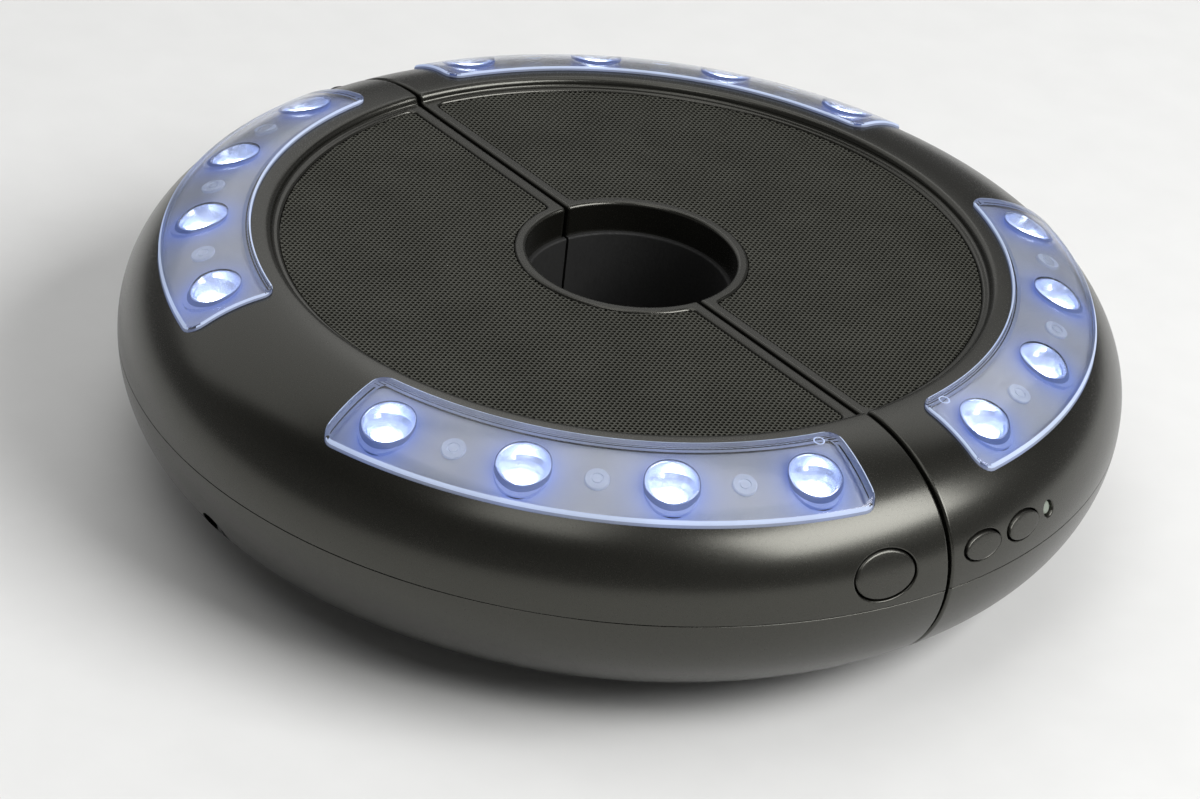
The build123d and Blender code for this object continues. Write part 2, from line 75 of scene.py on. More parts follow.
HINGE_X, HINGE_RELIEF, LEAF_POCKET_END, LEAF_T = -124.5, 4.8, -102.8, 1.8
HINGE_Z0, HINGE_Z1 = 24.0, 54.0
FOOT_CIRCLE, FOOT_ANGLES = 66.0, (-52.0, 0.0, 52.0)
SCREW_CIRCLE, SCREW_ANGLES = 74.0, (-72.0, -35.0, 35.0, 72.0)
HEAD_SEAT = 5.6
RELEASE_ANGLE, RELEASE_Z, RELEASE_W, RELEASE_H = -8.57, 46.05, 16.8, 11.8
BUTTON_Z, SMALL_W, SMALL_H, BUTTON_GAP = 46.2, 11.8, 6.2, 0.4
SMALL_ANGLES = {"light_button": 4.9, "power_button": 11.7}
STATUS_ANGLE, STATUS_R = 16.6, 1.9
SOCKET_ANGLE, SOCKET_Z, SOCKET_W = -91.0, 20.0, 8.6

# --- sizes that only the looks have ---
LIP = 0.8                             # rounding along the split
EDGE_LIP = 1.0                        # rounding where the bore meets the deck and the base
PART_BEVEL, LOW_BEVEL = 0.25, 0.05    # small bevels that make the parting line
MOUTH_BEVEL, CAP_BEVEL = 0.45, 0.6    # rounding of the openings in the side and of the buttons
LENS_BEVEL = 0.5                      # rounding along a lens's edge
HOLE_PITCH, HOLE_ACROSS = 1.33, 0.96  # holes of the grilles
SEGMENTS = 150                        # steps round half the ring
CUP_STEPS = 72                        # steps round a reflector cup


# --- plain mesh making ---
def polar(radius, turn, *height):
    """Point at a radius and a turn in radians, and a height where there is one."""
    return (radius * cos(turn), radius * sin(turn), *height)


def linked(name, data):
    """Object with this data, in the scene."""
    obj = bpy.data.objects.new(name, data)
    bpy.context.scene.collection.objects.link(obj)
    return obj


def new_object(name, verts, faces):
    """Mesh object from points in millimetres."""
    mesh = bpy.data.meshes.new(name)
    mesh.from_pydata([tuple(c * MM for c in v) for v in verts], [], faces)
    mesh.validate()
    return linked(name, mesh)


def solid(name, shape):
    """Object from closed shells, with every shell's faces turned outwards."""
    obj = new_object(name, *shape)
    work = bmesh.new()
    work.from_mesh(obj.data)
    bmesh.ops.recalc_face_normals(work, faces=work.faces)
    work.to_mesh(obj.data)
    work.free()
    return obj


def tube(rings, closed=True):
    """Closed solid through a row of rings with the same number of points."""
    count = len(rings[0])
    verts = [tuple(p) for ring in rings for p in ring]
    faces = []
    for a in range(0, len(verts) - count, count):
        b = a + count
        for i in range(count):
            j = (i + 1) % count
            faces.append((a + i, a + j, b + j, b + i))
    if closed:
        faces.append(tuple(range(count))[::-1])
        faces.append(tuple(range(len(verts) - count, len(verts))))
    return verts, faces


def lathe(profile, steps=64):
    """Solid of revolution about Z from a closed (radius, height) outline.

    Points of the outline on the axis are shared by all steps.
    """
    verts, faces, index = [], [], []
    for r, z in profile:
        if r < 1e-6:
            index.append([len(verts)] * steps)
            verts.append((0.0, 0.0, z))
        else:
            index.append(list(range(len(verts), len(verts) + steps)))
            turns = [2 * pi * s / steps for s in range(steps)]
            verts += [polar(r, t, z) for t in turns]
    for k in range(len(profile)):
        a, b = index[k], index[(k + 1) % len(profile)]
        for s in range(steps):
            t = (s + 1) % steps
            ring = []
            for v in (a[s], a[t], b[t], b[s]):
                if v not in ring:
                    ring.append(v)
            if len(ring) > 2:
                faces.append(tuple(ring))
    return verts, faces


def upright(radius, z0, z1, steps=64):
    """Cylinder on the Z axis."""
    return lathe([(0, z0), (radius, z0), (radius, z1), (0, z1)], steps)


def moved(shape, matrix):
    verts, faces = shape
    return [tuple(matrix @ Vector(v)) for v in verts], faces


def joined(shapes):
    verts, faces = [], []
    for v, f in shapes:
        base = len(verts)
        verts += v
        faces += [tuple(i + base for i in face) for face in f]
    return verts, faces


def cuboid(x0, x1, y0, y1, z0, z1):
    outline = [(x0, y0), (x1, y0), (x1, y1), (x0, y1)]
    return tube([[(x, y, z) for x, y in outline] for z in (z0, z1)])


def spun(angle):
    return Matrix.Rotation(radians(angle), 4, "Z")


def placed(angle, radius, z, tilt=0.0):
    """Carry a shape from the origin out to a place on the ring; tilt leans its Z axis outwards."""
    lean = Matrix.Rotation(radians(tilt), 4, "Y")
    return spun(angle) @ Matrix.Translation((radius, 0, z)) @ lean


def boolean(obj, shape, operation="DIFFERENCE"):
    """Cut a shape from an object, or add it, and keep the result as the object's mesh."""
    cutter = solid("cutter", shape)
    step = obj.modifiers.new("cut", "BOOLEAN")
    step.operation, step.solver, step.object = operation, "EXACT", cutter
    bpy.context.view_layer.update()
    result = obj.evaluated_get(bpy.context.evaluated_depsgraph_get())
    mesh = bpy.data.meshes.new_from_object(result)
    obj.modifiers.clear()
    old, obj.data = obj.data, mesh
    bpy.data.meshes.remove(old)
    bpy.data.objects.remove(cutter)
    return obj


def read(items, field, kind=float, width=3):
    """Array of one field of a mesh's vertices, corners or faces."""
    values = np.zeros(len(items) * width, kind)
    items.foreach_get(field, values)
    return values.reshape(-1, width) if width > 1 else values


def shade(obj, angle=32.0, skin=False):
    """Smooth normals with sharp edges; on the case skin they come from the exact surface."""
    mesh = obj.data
    mesh.polygons.foreach_set("use_smooth", [True] * len(mesh.polygons))
    mesh.set_sharp_from_angle(angle=radians(angle))
    if not skin:
        return obj
    same_way = 0.97
    normals = read(mesh.corner_normals, "vector")
    corner = read(mesh.loops, "vertex_index", int, 1)
    sizes = read(mesh.polygons, "loop_total", int, 1)
    facing = np.repeat(read(mesh.polygons, "normal"), sizes, axis=0)
    exact, near = skin_normals(read(mesh.vertices, "co") / MM)
    exact, near = exact[corner], near[corner]
    use = near & ((exact * facing).sum(1) > same_way)
    normals[use] = exact[use]
    mesh.normals_split_custom_set(normals)
    return obj


# --- the ring's skin ---
def skin_normals(points):
    """Exact normals of the skin at points, and which of the points lie on the skin."""
    off_arc, past_end, off_plane = 0.02, 1e-3, 1e-3
    radius = np.hypot(points[:, 0], points[:, 1])
    height = points[:, 2]
    out = np.zeros_like(points)
    near = np.zeros(len(points), bool)
    arcs = (
        (UP_SMALL_C, UP_SMALL, 0.0, UP_TURN),
        (UP_BIG_C, UP_BIG, UP_TURN, pi / 2),
        (LOW_SMALL_C, LOW_SMALL, -LOW_TURN, 0.0),
        (LOW_BIG_C, LOW_BIG, -pi / 2, -LOW_TURN),
    )
    for (cr, cz), size, low, high in arcs:
        dr, dz = radius - cr, height - cz
        reach = np.hypot(dr, dz)
        turn = np.arctan2(dz, dr)
        hit = (turn > low - past_end) & (turn < high + past_end)
        hit &= np.abs(reach - size) < off_arc
        near |= hit
        nr, nz = dr[hit] / reach[hit], dz[hit] / reach[hit]
        out[hit, 0] = nr * points[hit, 0] / radius[hit]
        out[hit, 1] = nr * points[hit, 1] / radius[hit]
        out[hit, 2] = nz
    deck = (np.abs(height - DECK_Z) < off_plane) & ~near
    base = (np.abs(height - BASE_Z) < off_plane) & ~near
    out[deck], out[base] = (0, 0, 1), (0, 0, -1)
    return out, near | deck | base


def arc(centre, radius, start, end, steps):
    """Points along an arc, from one angle to another."""
    turns = np.linspace(start, end, steps + 1)
    return [(centre[0] + radius * cos(t), centre[1] + radius * sin(t)) for t in turns]


def skin_radius(z):
    """Radius of the side of the ring at a height."""
    centre, radius = (UP_SMALL_C, UP_SMALL) if z > EQUATOR_Z else (LOW_SMALL_C, LOW_SMALL)
    return centre[0] + sqrt(radius**2 - (z - centre[1]) ** 2)


def shoulder(radius, offset=0.0):
    """Height of the upper shoulder at a plan radius, with its arcs grown by an offset."""
    size = UP_BIG + offset
    across = radius - UP_BIG_C[0]
    if across <= size * cos(UP_TURN):
        return UP_BIG_C[1] + sqrt(size**2 - across**2)
    size = UP_SMALL + offset
    return UP_SMALL_C[1] + sqrt(size**2 - (radius - UP_SMALL_C[0]) ** 2)


def shoulder_tilt(radius):
    """How far the shoulder leans outwards at a plan radius."""
    return degrees(asin((radius - UP_BIG_C[0]) / UP_BIG))


def outer_upper():
    """Section of the upper case's outside, from the parting line over the rim to the bore."""
    start = -asin((EQUATOR_Z - PARTING_Z - PART_BEVEL) / LOW_SMALL)
    points = [(skin_radius(PARTING_Z) - PART_BEVEL, PARTING_Z)]
    points += arc(LOW_SMALL_C, LOW_SMALL, start, 0, 4)[:-1]
    points += arc(UP_SMALL_C, UP_SMALL, 0, UP_TURN, 36)[:-1]
    points += arc(UP_BIG_C, UP_BIG, UP_TURN, pi / 2, 26)
    rim_flat, rim_lip, cove = 0.4, 1.6, 0.8
    step = RIM_R - rim_flat - rim_lip
    points += arc((step + rim_lip, RIM_Z - rim_lip), rim_lip, pi / 2, pi, 8)
    points += arc((step - cove, DECK_Z + cove), cove, 0, -pi / 2, 6)
    points += arc((BORE_R + EDGE_LIP, DECK_Z - EDGE_LIP), EDGE_LIP, pi / 2, pi, 8)
    points.append((BORE_R, PARTING_Z + PART_BEVEL))
    points.append((BORE_R + PART_BEVEL, PARTING_Z))
    return points


def outer_lower():
    """Section of the lower case's outside, from the parting line down to the bore."""
    start = -asin((EQUATOR_Z - PARTING_Z + LOW_BEVEL) / LOW_SMALL)
    points = [(skin_radius(PARTING_Z) - LOW_BEVEL, PARTING_Z)]
    points += arc(LOW_SMALL_C, LOW_SMALL, start, -LOW_TURN, 36)[:-1]
    points += arc(LOW_BIG_C, LOW_BIG, -LOW_TURN, -pi / 2, 26)
    points += arc((BORE_R + EDGE_LIP, BASE_Z + EDGE_LIP), EDGE_LIP, -pi / 2, -pi, 8)
    points.append((BORE_R, PARTING_Z - LOW_BEVEL))
    points.append((BORE_R + LOW_BEVEL, PARTING_Z))
    return points


def inner_upper():
    """Section of the hollow in the upper case, running past the parting line."""
    points = arc(LOW_SMALL_C, LOW_SMALL - WALL, -0.27, 0, 5)[:-1]
    points += arc(UP_SMALL_C, UP_SMALL - WALL, 0, UP_TURN, 20)[:-1]
    points += arc(UP_BIG_C, UP_BIG - WALL, UP_TURN, pi / 2, 14)
    inner, rim_inner = BORE_R + WALL, RIM_R - 1.4
    points += [(rim_inner, RIM_Z - WALL), (rim_inner, DECK_UNDER), (inner, DECK_UNDER)]
    points.append((inner, points[0][1]))
    return points


def inner_lower():
    """Section of the hollow in the lower case, running past the parting line."""
    points = arc(LOW_SMALL_C, LOW_SMALL - WALL, 0.2, -LOW_TURN, 22)[:-1]
    points += arc(LOW_BIG_C, LOW_BIG - WALL, -LOW_TURN, -pi / 2, 16)
    inner = BORE_R + WALL
    points += [(inner, BASE_Z + WALL), (inner, points[0][1])]
    return points


def mitres(section):
    """Outward unit offsets of a section's points; the two ends stay on the parting plane."""
    p = np.array(section)
    ends = zip(section, section[1:] + section[:1])
    sign = 1.0 if sum(x0 * z1 - x1 * z0 for (x0, z0), (x1, z1) in ends) > 0 else -1.0
    runs = np.diff(p, axis=0)
    runs /= np.linalg.norm(runs, axis=1)[:, None]
    outs = sign * np.stack([runs[:, 1], -runs[:, 0]], 1)
    result = np.zeros_like(p)
    result[1:-1] = outs[:-1] + outs[1:]
    result[1:-1] *= 2 / (result[1:-1] ** 2).sum(1)[:, None]
    result[0], result[-1] = (1, 0), (-1, 0)
    return result


def half_ring(section, gap, lip=0.0, steps=SEGMENTS):
    """Solid half ring on the +Y side whose two ends are flat, with rounded edges."""
    near = []
    if lip:
        out = mitres(section)
        for turn in np.linspace(0, pi / 2, 6)[:-1]:
            y = gap + lip * (1 - cos(turn))
            inset = np.array(section) - out * lip * (1 - sin(turn))
            near.append([(sqrt(r * r - y * y), y, z) for r, z in inset])
    start = gap + lip
    sweep = []
    for t in np.linspace(0, 1, steps + 1):
        ring = []
        for r, z in section:
            low = asin(start / r)
            turn = low + t * (pi - 2 * low)
            ring.append(polar(r, turn, z))
        sweep.append(ring)
    far = [[(-x, y, z) for x, y, z in ring] for ring in near[::-1]]
    return tube(near + sweep + far)


# --- pieces that follow the shoulder ---
def panel_grid(offset, grow=0.0, inner=PANEL_IN, outer=PANEL_OUT, half=PANEL_HALF):
    """Grid over a lamp panel's outline on the shoulder, at an offset from its surface."""
    middle_rows, middle_columns, column_reach = 12, 71, 0.964
    r0, r1, c = inner - grow, outer + grow, PANEL_CORNER + grow
    near = [c * (1 - cos(t)) for t in np.linspace(0, pi / 2, 7)]
    middle = list(np.linspace(c, r1 - r0 - c, middle_rows))[1:-1]
    depths = near + middle + [r1 - r0 - d for d in near[::-1]]
    grid = []
    for d in depths:
        radius = r0 + d
        edge = min(d, r1 - r0 - d)
        cut = c - sqrt(max(c * c - (c - edge) ** 2, 0.0)) if edge < c else 0.0
        extent = radians(half) + (grow - cut) / radius
        z = shoulder(radius, offset)
        shares = np.linspace(-column_reach, column_reach, middle_columns)
        turns = [extent * s for s in (-1.0, *shares, 1.0)]
        grid.append([polar(radius, t, z) for t in turns])
    return grid


def edge_of(grid):
    """Points round a grid's edge, in order."""
    rows, last = len(grid), len(grid[0]) - 1
    loop = list(grid[0])
    loop += [grid[k][last] for k in range(1, rows)]
    loop += [grid[-1][j] for j in range(last - 1, -1, -1)]
    loop += [grid[k][0] for k in range(rows - 2, 0, -1)]
    return loop


def plate(top, bottom, middles=()):
    """Closed solid between two grids, with rings between their edges."""
    rows, columns = len(top), len(top[0])
    verts = [p for row in bottom for p in row] + [p for row in top for p in row]
    size = rows * columns
    faces = []
    for k in range(rows - 1):
        for j in range(columns - 1):
            a = k * columns + j
            faces.append((a, a + columns, a + columns + 1, a + 1))
            faces.append((size + a, size + a + 1, size + a + columns + 1, size + a + columns))
    index = [[k * columns + j for j in range(columns)] for k in range(rows)]
    loops = [edge_of(index)]
    for ring in middles:
        loops.append(list(range(len(verts), len(verts) + len(ring))))
        verts += ring
    loops.append([size + i for i in loops[0]])
    for a, b in zip(loops, loops[1:]):
        for i in range(len(a)):
            j = (i + 1) % len(a)
            faces.append((a[i], a[j], b[j], b[i]))
    return verts, faces


def panel_frame(radius, step):
    """Place on the shoulder: step counts lamp pitches from the panel's middle."""
    return placed(step * LAMP_PITCH, radius, shoulder(radius), shoulder_tilt(radius))


# --- openings in the side ---
def oval(width, height, grow=0.0, steps=48):
    turns = [2 * pi * s / steps for s in range(steps)]
    return [((width / 2 + grow) * cos(t), (height / 2 + grow) * sin(t)) for t in turns]


def side_x(y, z):
    """X of the ring's side, across from the X axis by y."""
    return sqrt(skin_radius(z) ** 2 - y * y)


def side_hole(angle, height, width, tall, bevel=MOUTH_BEVEL):
    """Cutter for an oval hole in the side, with a rounded mouth."""
    start, end = 112.0, 145.0
    rings = [[(start, y, z + height) for y, z in oval(width, tall)]]
    for turn in np.linspace(0, 80, 5):
        grow = bevel * (1 - cos(radians(turn)))
        depth = bevel * (1 - sin(radians(turn)))
        ring = oval(width, tall, grow)
        rings.append([(side_x(y, z + height) - depth, y, z + height) for y, z in ring])
    rings.append([(end, y, z + height) for y, z in oval(width, tall, bevel)])
    return moved(tube(rings), spun(angle))


def side_cap(angle, height, width, tall, back, bevel=CAP_BEVEL, sink=0.1):
    """Oval button whose face follows the side of the ring, sunk into it or standing proud."""
    rings = [[(back, y, z + height) for y, z in oval(width, tall)]]
    for turn in np.linspace(0, pi / 2, 6):
        inset = bevel * (1 - cos(turn))
        depth = sink + bevel * (1 - sin(turn))
        ring = oval(width, tall, -inset)
        rings.append([(side_x(y, z + height) - depth, y, z + height) for y, z in ring])
    for share in (0.8, 0.6, 0.4, 0.2, 0.06):
        ring = [(y * share, z * share) for y, z in oval(width, tall, -bevel)]
        rings.append([(side_x(y, z + height) - sink, y, z + height) for y, z in ring])
    return moved(tube(rings), spun(angle))


def bar(angle, height, width, tall, x0, x1):
    """Straight oval bar along the radius."""
    rings = [[(x, y, z + height) for y, z in oval(width, tall)] for x in (x0, x1)]
    return moved(tube(rings), spun(angle))


# --- perforated grilles ---
def grille_outline(margin=0.0, corner=2.0):
    """Outline of a half-round grille on the +Y side, anticlockwise."""
    inner, outer = GRILLE_IN + margin, GRILLE_R - margin
    base = GRILLE_START + margin
    c = corner
    points = []

    def corner_arc(centre, start, end):
        for t in np.linspace(start, end, 8):
            points.append((centre[0] + c * cos(t), centre[1] + c * sin(t)))

    # outer corner on +X: a circle that touches the base line and the outer arc from inside
    reach = outer - c
    cx = sqrt(reach**2 - (base + c) ** 2)
    lean = atan2(base + c, cx)
    corner_arc((cx, base + c), -pi / 2, lean)
    for t in np.linspace(lean, pi - lean, 241)[1:-1]:
        points.append(polar(outer, t))
    corner_arc((-cx, base + c), pi - lean, 1.5 * pi)
    # inner corners: circles that touch the base line and the inner arc from outside
    reach = inner + c
    cx = sqrt(reach**2 - (base + c) ** 2)
    lean = atan2(base + c, cx)
    corner_arc((-cx, base + c), -pi / 2, -lean)
    for t in np.linspace(pi - lean, lean, 101)[1:-1]:
        points.append(polar(inner, t))
    corner_arc((cx, base + c), pi + lean, 1.5 * pi)
    return points


def inside_outline(x, y, margin=0.0):
    r = hypot(x, y)
    return GRILLE_IN + margin < r < GRILLE_R - margin and y > GRILLE_START + margin


def perforated():
    """Flat sheet with hexagonal holes on the +Y side, as points and faces.

    Whole holes and the web between them are laid out directly. The strip from there to the
    outline, with the holes that it cuts into, is triangulated.
    """
    size = HOLE_ACROSS / sqrt(3)
    turns = [radians(30 + 60 * k) for k in range(6)]
    ring = [polar(size, t) for t in turns]
    sides = [radians(60 * k) for k in range(6)]
    row_step = HOLE_PITCH * sqrt(3) / 2
    most = int(GRILLE_R / HOLE_PITCH) + 4
    whole, cut = {}, {}
    for j in range(int(GRILLE_R / row_step) + 2):
        y = GRILLE_START + 0.75 * HOLE_PITCH + (j - 1) * row_step
        for i in range(-most, most + 1):
            x = (i + 0.5 * (j % 2)) * HOLE_PITCH
            if inside_outline(x, y, 0.62 * HOLE_PITCH):
                whole[i, j] = (x, y)
            elif inside_outline(x, y, -0.2 * HOLE_PITCH):
                cut[i, j] = (x, y)

    verts, first, faces = [], {}, []
    for key, (x, y) in whole.items():
        first[key] = len(verts)
        verts += [(x + dx, y + dy) for dx, dy in ring]
    for (i, j), a in first.items():
        odd = j % 2
        ways = ((1, 0), (odd, 1), (odd - 1, 1), (-1, 0))
        around = [first.get((i + di, j + dj)) for di, dj in ways]
        for way, b in enumerate(around[:3]):
            if b is not None:
                faces.append((a + (way - 1) % 6, b + (way + 3) % 6, b + (way + 2) % 6, a + way))
        for way, (b, c) in enumerate(zip(around[:2], around[1:3])):
            if b is not None and c is not None:
                faces.append((a + way, b + (way + 2) % 6, c + (way + 4) % 6))

    used = Counter(tuple(sorted(e)) for face in faces for e in zip(face, face[1:] + face[:1]))
    hole_edges = {tuple(sorted((a + k, a + (k + 1) % 6))): a
                  for a in first.values() for k in range(6)}
    walls = [e for e in hole_edges if e not in used]
    walls += [e for e, n in used.items() if n == 1 and e not in hole_edges]
    names = sorted({i for e in walls for i in e})
    local = {v: i for i, v in enumerate(names)}
    points = [Vector(verts[v]) for v in names]
    edges = [(local[p], local[q]) for p, q in walls]
    outline = grille_outline()
    for loop in [outline] + [[(x + dx, y + dy) for dx, dy in ring] for x, y in cut.values()]:
        base, count = len(points), len(loop)
        points += [Vector(p) for p in loop]
        edges += [(base + i, base + (i + 1) % count) for i in range(count)]
    flat, _, tris, origin, _, _ = delaunay_2d_cdt(points, edges, [], 0, 1e-5)

    poly = np.array(outline)
    following = np.roll(poly, -1, axis=0)
    laid = {}
    for face in faces:
        for v in face:
            laid.setdefault(v // 6 * 6, []).append([verts[i] for i in face])

    def within(x, y):
        crosses = (poly[:, 1] > y) != (following[:, 1] > y)
        (x0, y0), (x1, y1) = poly[crosses].T, following[crosses].T
        slope = (x1 - x0) / (y1 - y0)
        return np.count_nonzero(x0 + (y - y0) * slope > x) % 2 == 1

    def in_face(x, y, corners):
        return all((x1 - x0) * (y - y0) - (y1 - y0) * (x - x0) >= -1e-9
                   for (x0, y0), (x1, y1) in zip(corners, corners[1:] + corners[:1]))

    def taken(x, y):
        """Whether a point is in a hole, or in a face that is laid out already."""
        j = round((y - GRILLE_START - 0.75 * HOLE_PITCH) / row_step) + 1
        for jj in (j - 1, j, j + 1):
            ii = round(x / HOLE_PITCH - 0.5 * (jj % 2))
            for key in ((ii - 1, jj), (ii, jj), (ii + 1, jj)):
                place = whole.get(key) or cut.get(key)
                if place is None:
                    continue
                dx, dy = x - place[0], y - place[1]
                reach = max(dx * cos(t) + dy * sin(t) for t in sides)
                if reach < HOLE_ACROSS / 2:
                    return True
                if any(in_face(x, y, face) for face in laid.get(first.get(key), ())):
                    return True
        return False

    index = {}
    for i, sources in enumerate(origin):
        own = [s for s in sources if s < len(names)]
        if own:
            index[i] = names[own[0]]
    for tri in tris:
        x, y = (sum(flat[i][axis] for i in tri) / 3 for axis in (0, 1))
        if not within(x, y) or taken(x, y):
            continue
        for i in tri:
            if i not in index:
                index[i] = len(verts)
                verts.append(tuple(flat[i]))
        faces.append(tuple(index[i] for i in tri))
    return verts, faces


def sheet_solid(verts, faces, top, bottom):
    """Closed plate from a flat mesh, with walls down every free edge."""
    count = len(verts)
    points = [(x, y, z) for z in (top, bottom) for x, y in verts]
    result = faces + [tuple(i + count for i in f[::-1]) for f in faces]
    edges = {e: None for face in faces for e in zip(face, face[1:] + face[:1])}
    result += [(q, p, p + count, q + count) for p, q in edges if (q, p) not in edges]
    return points, result


def mirrored(shape):
    verts, faces = shape
    return [(x, -y, z) for x, y, z in verts], [tuple(f[::-1]) for f in faces]


# --- materials ---
NOISE_SPAN = (0.3, 0.7)    # the part of a noise's range that its values fill


class Nodes:
    """Shorthand for building one material's node tree."""

    def __init__(self, name):
        self.material = bpy.data.materials.new(name)
        self.material.use_nodes = True
        self.tree = self.material.node_tree
        self.shader = self.tree.nodes["Principled BSDF"]
        self.where = self.add("ShaderNodeTexCoord").outputs["Object"]

    def add(self, kind, **values):
        node = self.tree.nodes.new(kind)
        for key, value in values.items():
            setattr(node, key, value)
        return node

    def link(self, source, target):
        self.tree.links.new(source, target)

    def noise(self, scale, detail):
        node = self.add("ShaderNodeTexNoise")
        node.inputs["Scale"].default_value = scale
        node.inputs["Detail"].default_value = detail
        self.link(self.where, node.inputs["Vector"])
        return node.outputs["Fac"]

    def span(self, source, low, high):
        """Number that follows a noise from low to high."""
        node = self.add("ShaderNodeMapRange")
        values = (*NOISE_SPAN, low, high)
        for key, value in zip(("From Min", "From Max", "To Min", "To Max"), values):
            node.inputs[key].default_value = value
        self.link(source, node.inputs["Value"])
        return node.outputs["Result"]

    def blend(self, source, low, high):
        """Colour that follows a noise from low to high."""
        ramp = self.add("ShaderNodeValToRGB")
        for stop, place, tone in zip(ramp.color_ramp.elements, NOISE_SPAN, (low, high)):
            stop.position, stop.color = place, (*tone, 1)
        self.link(source, ramp.inputs["Fac"])
        return ramp.outputs["Color"]

    def bump(self, source, strength, distance=0.02):
        node = self.add("ShaderNodeBump")
        node.inputs["Strength"].default_value = strength
        node.inputs["Distance"].default_value = distance * MM
        self.link(source, node.inputs["Height"])
        self.link(node.outputs["Normal"], self.shader.inputs["Normal"])

    def set(self, **values):
        for key, value in values.items():
            self.shader.inputs[key.replace("_", " ")].default_value = value
        return self


def surface(name, low, high, rough, grain, bump, metallic=0.0, **sockets):
    """A finish whose colour, roughness and fine relief vary over the surface."""
    nodes = Nodes(name)
    broad = nodes.noise(60.0, 2.0)
    fine = nodes.noise(grain, 2.0)
    nodes.link(nodes.blend(broad, low, high), nodes.shader.inputs["Base Color"])
    nodes.link(nodes.span(fine, *rough), nodes.shader.inputs["Roughness"])
    nodes.bump(fine, bump)
    nodes.set(Metallic=metallic, **sockets)
    return nodes.material


SHEEN = {"IOR": 1.66, "Specular_Tint": (1.0, 0.99, 0.89, 1.0)}
PLASTIC = surface("satin_plastic", (0.0046, 0.0046, 0.0036), (0.0060, 0.0058, 0.0046),
                  (0.24, 0.28), 3200.0, 0.10, **SHEEN)
BUTTON = surface("button_plastic", (0.0062, 0.0060, 0.0052), (0.0078, 0.0075, 0.0066),
                 (0.26, 0.31), 3200.0, 0.05, **SHEEN)
INNER = surface("inner_plastic", (0.02, 0.02, 0.02), (0.03, 0.03, 0.03),
                (0.45, 0.6), 1800.0, 0.15)
GRILLE = surface("grille_paint", (0.048, 0.048, 0.038), (0.062, 0.062, 0.050),
                 (0.40, 0.52), 2600.0, 0.12, metallic=0.35)
RUBBER = surface("rubber", (0.007, 0.007, 0.007), (0.010, 0.010, 0.0095),
                 (0.6, 0.8), 1500.0, 0.3)
STEEL = surface("steel", (0.42, 0.42, 0.43), (0.5, 0.5, 0.5), (0.25, 0.38), 2500.0, 0.08,
                metallic=1.0)
DARK_STEEL = surface("black_steel", (0.018, 0.018, 0.018), (0.028, 0.028, 0.027), (0.30, 0.42),
                     2500.0, 0.08, metallic=0.7)
BOARD = surface("lamp_board", (0.72, 0.74, 0.78), (0.82, 0.84, 0.88), (0.3, 0.45), 900.0, 0.05)
CIRCUIT = surface("circuit_board", (0.01, 0.09, 0.035), (0.02, 0.13, 0.05), (0.3, 0.45),
                  700.0, 0.1)
CONE = surface("speaker_cone", (0.02, 0.02, 0.022), (0.04, 0.04, 0.042), (0.7, 0.9), 900.0, 0.4)
MAGNET = surface("magnet", (0.05, 0.05, 0.055), (0.08, 0.08, 0.085), (0.35, 0.5), 900.0, 0.1,
                 metallic=0.6)
FRAME = surface("speaker_frame", (0.03, 0.03, 0.032), (0.05, 0.05, 0.052), (0.35, 0.5),
                1200.0, 0.1, metallic=0.7)
BATTERY = surface("battery_wrap", (0.02, 0.12, 0.28), (0.03, 0.15, 0.34), (0.25, 0.35),
                  500.0, 0.05)


def painted_glow_material(name, base, near_base, rough, near, far, metallic=0.0, bump=0.1, IOR=1.5):
    """Material with painted lamp light, though it is no lamp: it glows near the lamps in one
    colour, away from them in another.
    """
    nodes = Nodes(name)
    reach = nodes.add("ShaderNodeAttribute", attribute_name="lamp_light").outputs["Fac"]
    fine = nodes.noise(1500.0, 3.0)
    broad = nodes.noise(90.0, 2.0)
    patchy = nodes.blend(broad, (0.88,) * 3, (1.0,) * 3)
    # Painted lamp light: both the glow and the base colour change near the lamps, standing in for
    # their light falling there.
    for colours, socket in (((far, near), "Emission Color"), ((base, near_base), "Base Color")):
        mix = nodes.add("ShaderNodeMix", data_type="RGBA")
        mix.inputs["A"].default_value = (*colours[0], 1)
        mix.inputs["B"].default_value = (*colours[1], 1)
        nodes.link(reach, mix.inputs["Factor"])
        tone = nodes.add("ShaderNodeMix", data_type="RGBA", blend_type="MULTIPLY")
        tone.inputs["Factor"].default_value = 1.0
        nodes.link(mix.outputs["Result"], tone.inputs["A"])
        nodes.link(patchy, tone.inputs["B"])
        nodes.link(tone.outputs["Result"], nodes.shader.inputs[socket])
    nodes.link(nodes.span(fine, *rough), nodes.shader.inputs["Roughness"])
    nodes.bump(fine, bump)
    nodes.set(Metallic=metallic, Emission_Strength=1.0, IOR=IOR)
    return nodes.material


# Painted lamp light on parts that are no lamps: a painted glow on the tray, the cups, the lens's
# well walls, its rim and its posts.
TRAY = painted_glow_material("tray_silver_painted_glow", (0.38, 0.39, 0.41), (0.24, 0.28, 0.38), (0.40, 0.55),
                     (0.08, 0.13, 0.40), (0.075, 0.085, 0.11), metallic=0.15)
CUP = painted_glow_material("cup_silver_painted_glow", (0.58, 0.63, 0.76), (0.58, 0.63, 0.76), (0.16, 0.28),
                    (0.08, 0.12, 0.28), (0.08, 0.12, 0.28), metallic=0.75)
WALL_IN = painted_glow_material("lens_well_painted_glow", (0.20, 0.22, 0.28), (0.18, 0.21, 0.30), (0.40, 0.55),
                        (0.04, 0.07, 0.22), (0.04, 0.05, 0.10), IOR=1.0)
